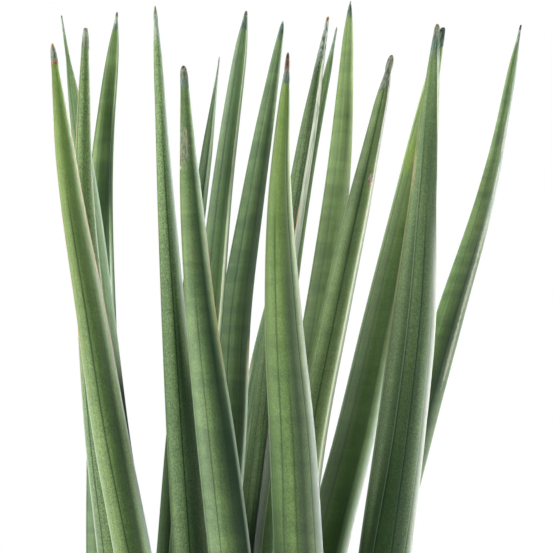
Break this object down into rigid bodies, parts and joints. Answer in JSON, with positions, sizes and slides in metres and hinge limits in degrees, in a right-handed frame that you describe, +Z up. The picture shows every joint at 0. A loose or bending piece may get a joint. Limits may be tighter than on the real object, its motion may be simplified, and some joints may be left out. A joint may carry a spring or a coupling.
{
  "type": "potted cylindrical snake plant",
  "caption": "Tight upright clump of round, ribbed, tapering succulent leaves in soil in a plain tapered clay pot; stands on the pot's flat base as indoor decoration",
  "frame": {"origin": "centre of the pot's flat base, on the surface that the pot stands on", "axes": "+Z up along the leaves, +X to the viewer's right, +Y away from the viewer in the pictured view"},
  "size_m": [0.2245, 0.19, 0.6225],
  "materials": {
    "leaf_skin": "living leaf: matt, faintly waxy mid green with darker lengthwise grooves and soft cross bands",
    "soil_mix": "dark crumbly potting mix, rough",
    "pot_clay": "unglazed fired clay, matt",
    "rhizome_skin": "pale orange-brown underground stem, matt"
  },
  "bodies": {
    "root": {"pot": "pot_clay", "soil": "soil_mix", "rhizome_1": "rhizome_skin", "rhizome_2": "rhizome_skin", "rhizome_3": "rhizome_skin", "rhizome_4": "rhizome_skin", "rhizome_5": "rhizome_skin", "leaf_01": "leaf_skin", "leaf_02": "leaf_skin", "leaf_03": "leaf_skin", "leaf_04": "leaf_skin", "leaf_05": "leaf_skin", "leaf_06": "leaf_skin", "leaf_07": "leaf_skin", "leaf_08": "leaf_skin", "leaf_09": "leaf_skin", "leaf_10": "leaf_skin", "leaf_11": "leaf_skin", "leaf_12": "leaf_skin", "leaf_13": "leaf_skin", "leaf_14": "leaf_skin", "leaf_15": "leaf_skin", "leaf_16": "leaf_skin", "leaf_17": "leaf_skin", "leaf_18": "leaf_skin"}
  },
  "joints": []
}
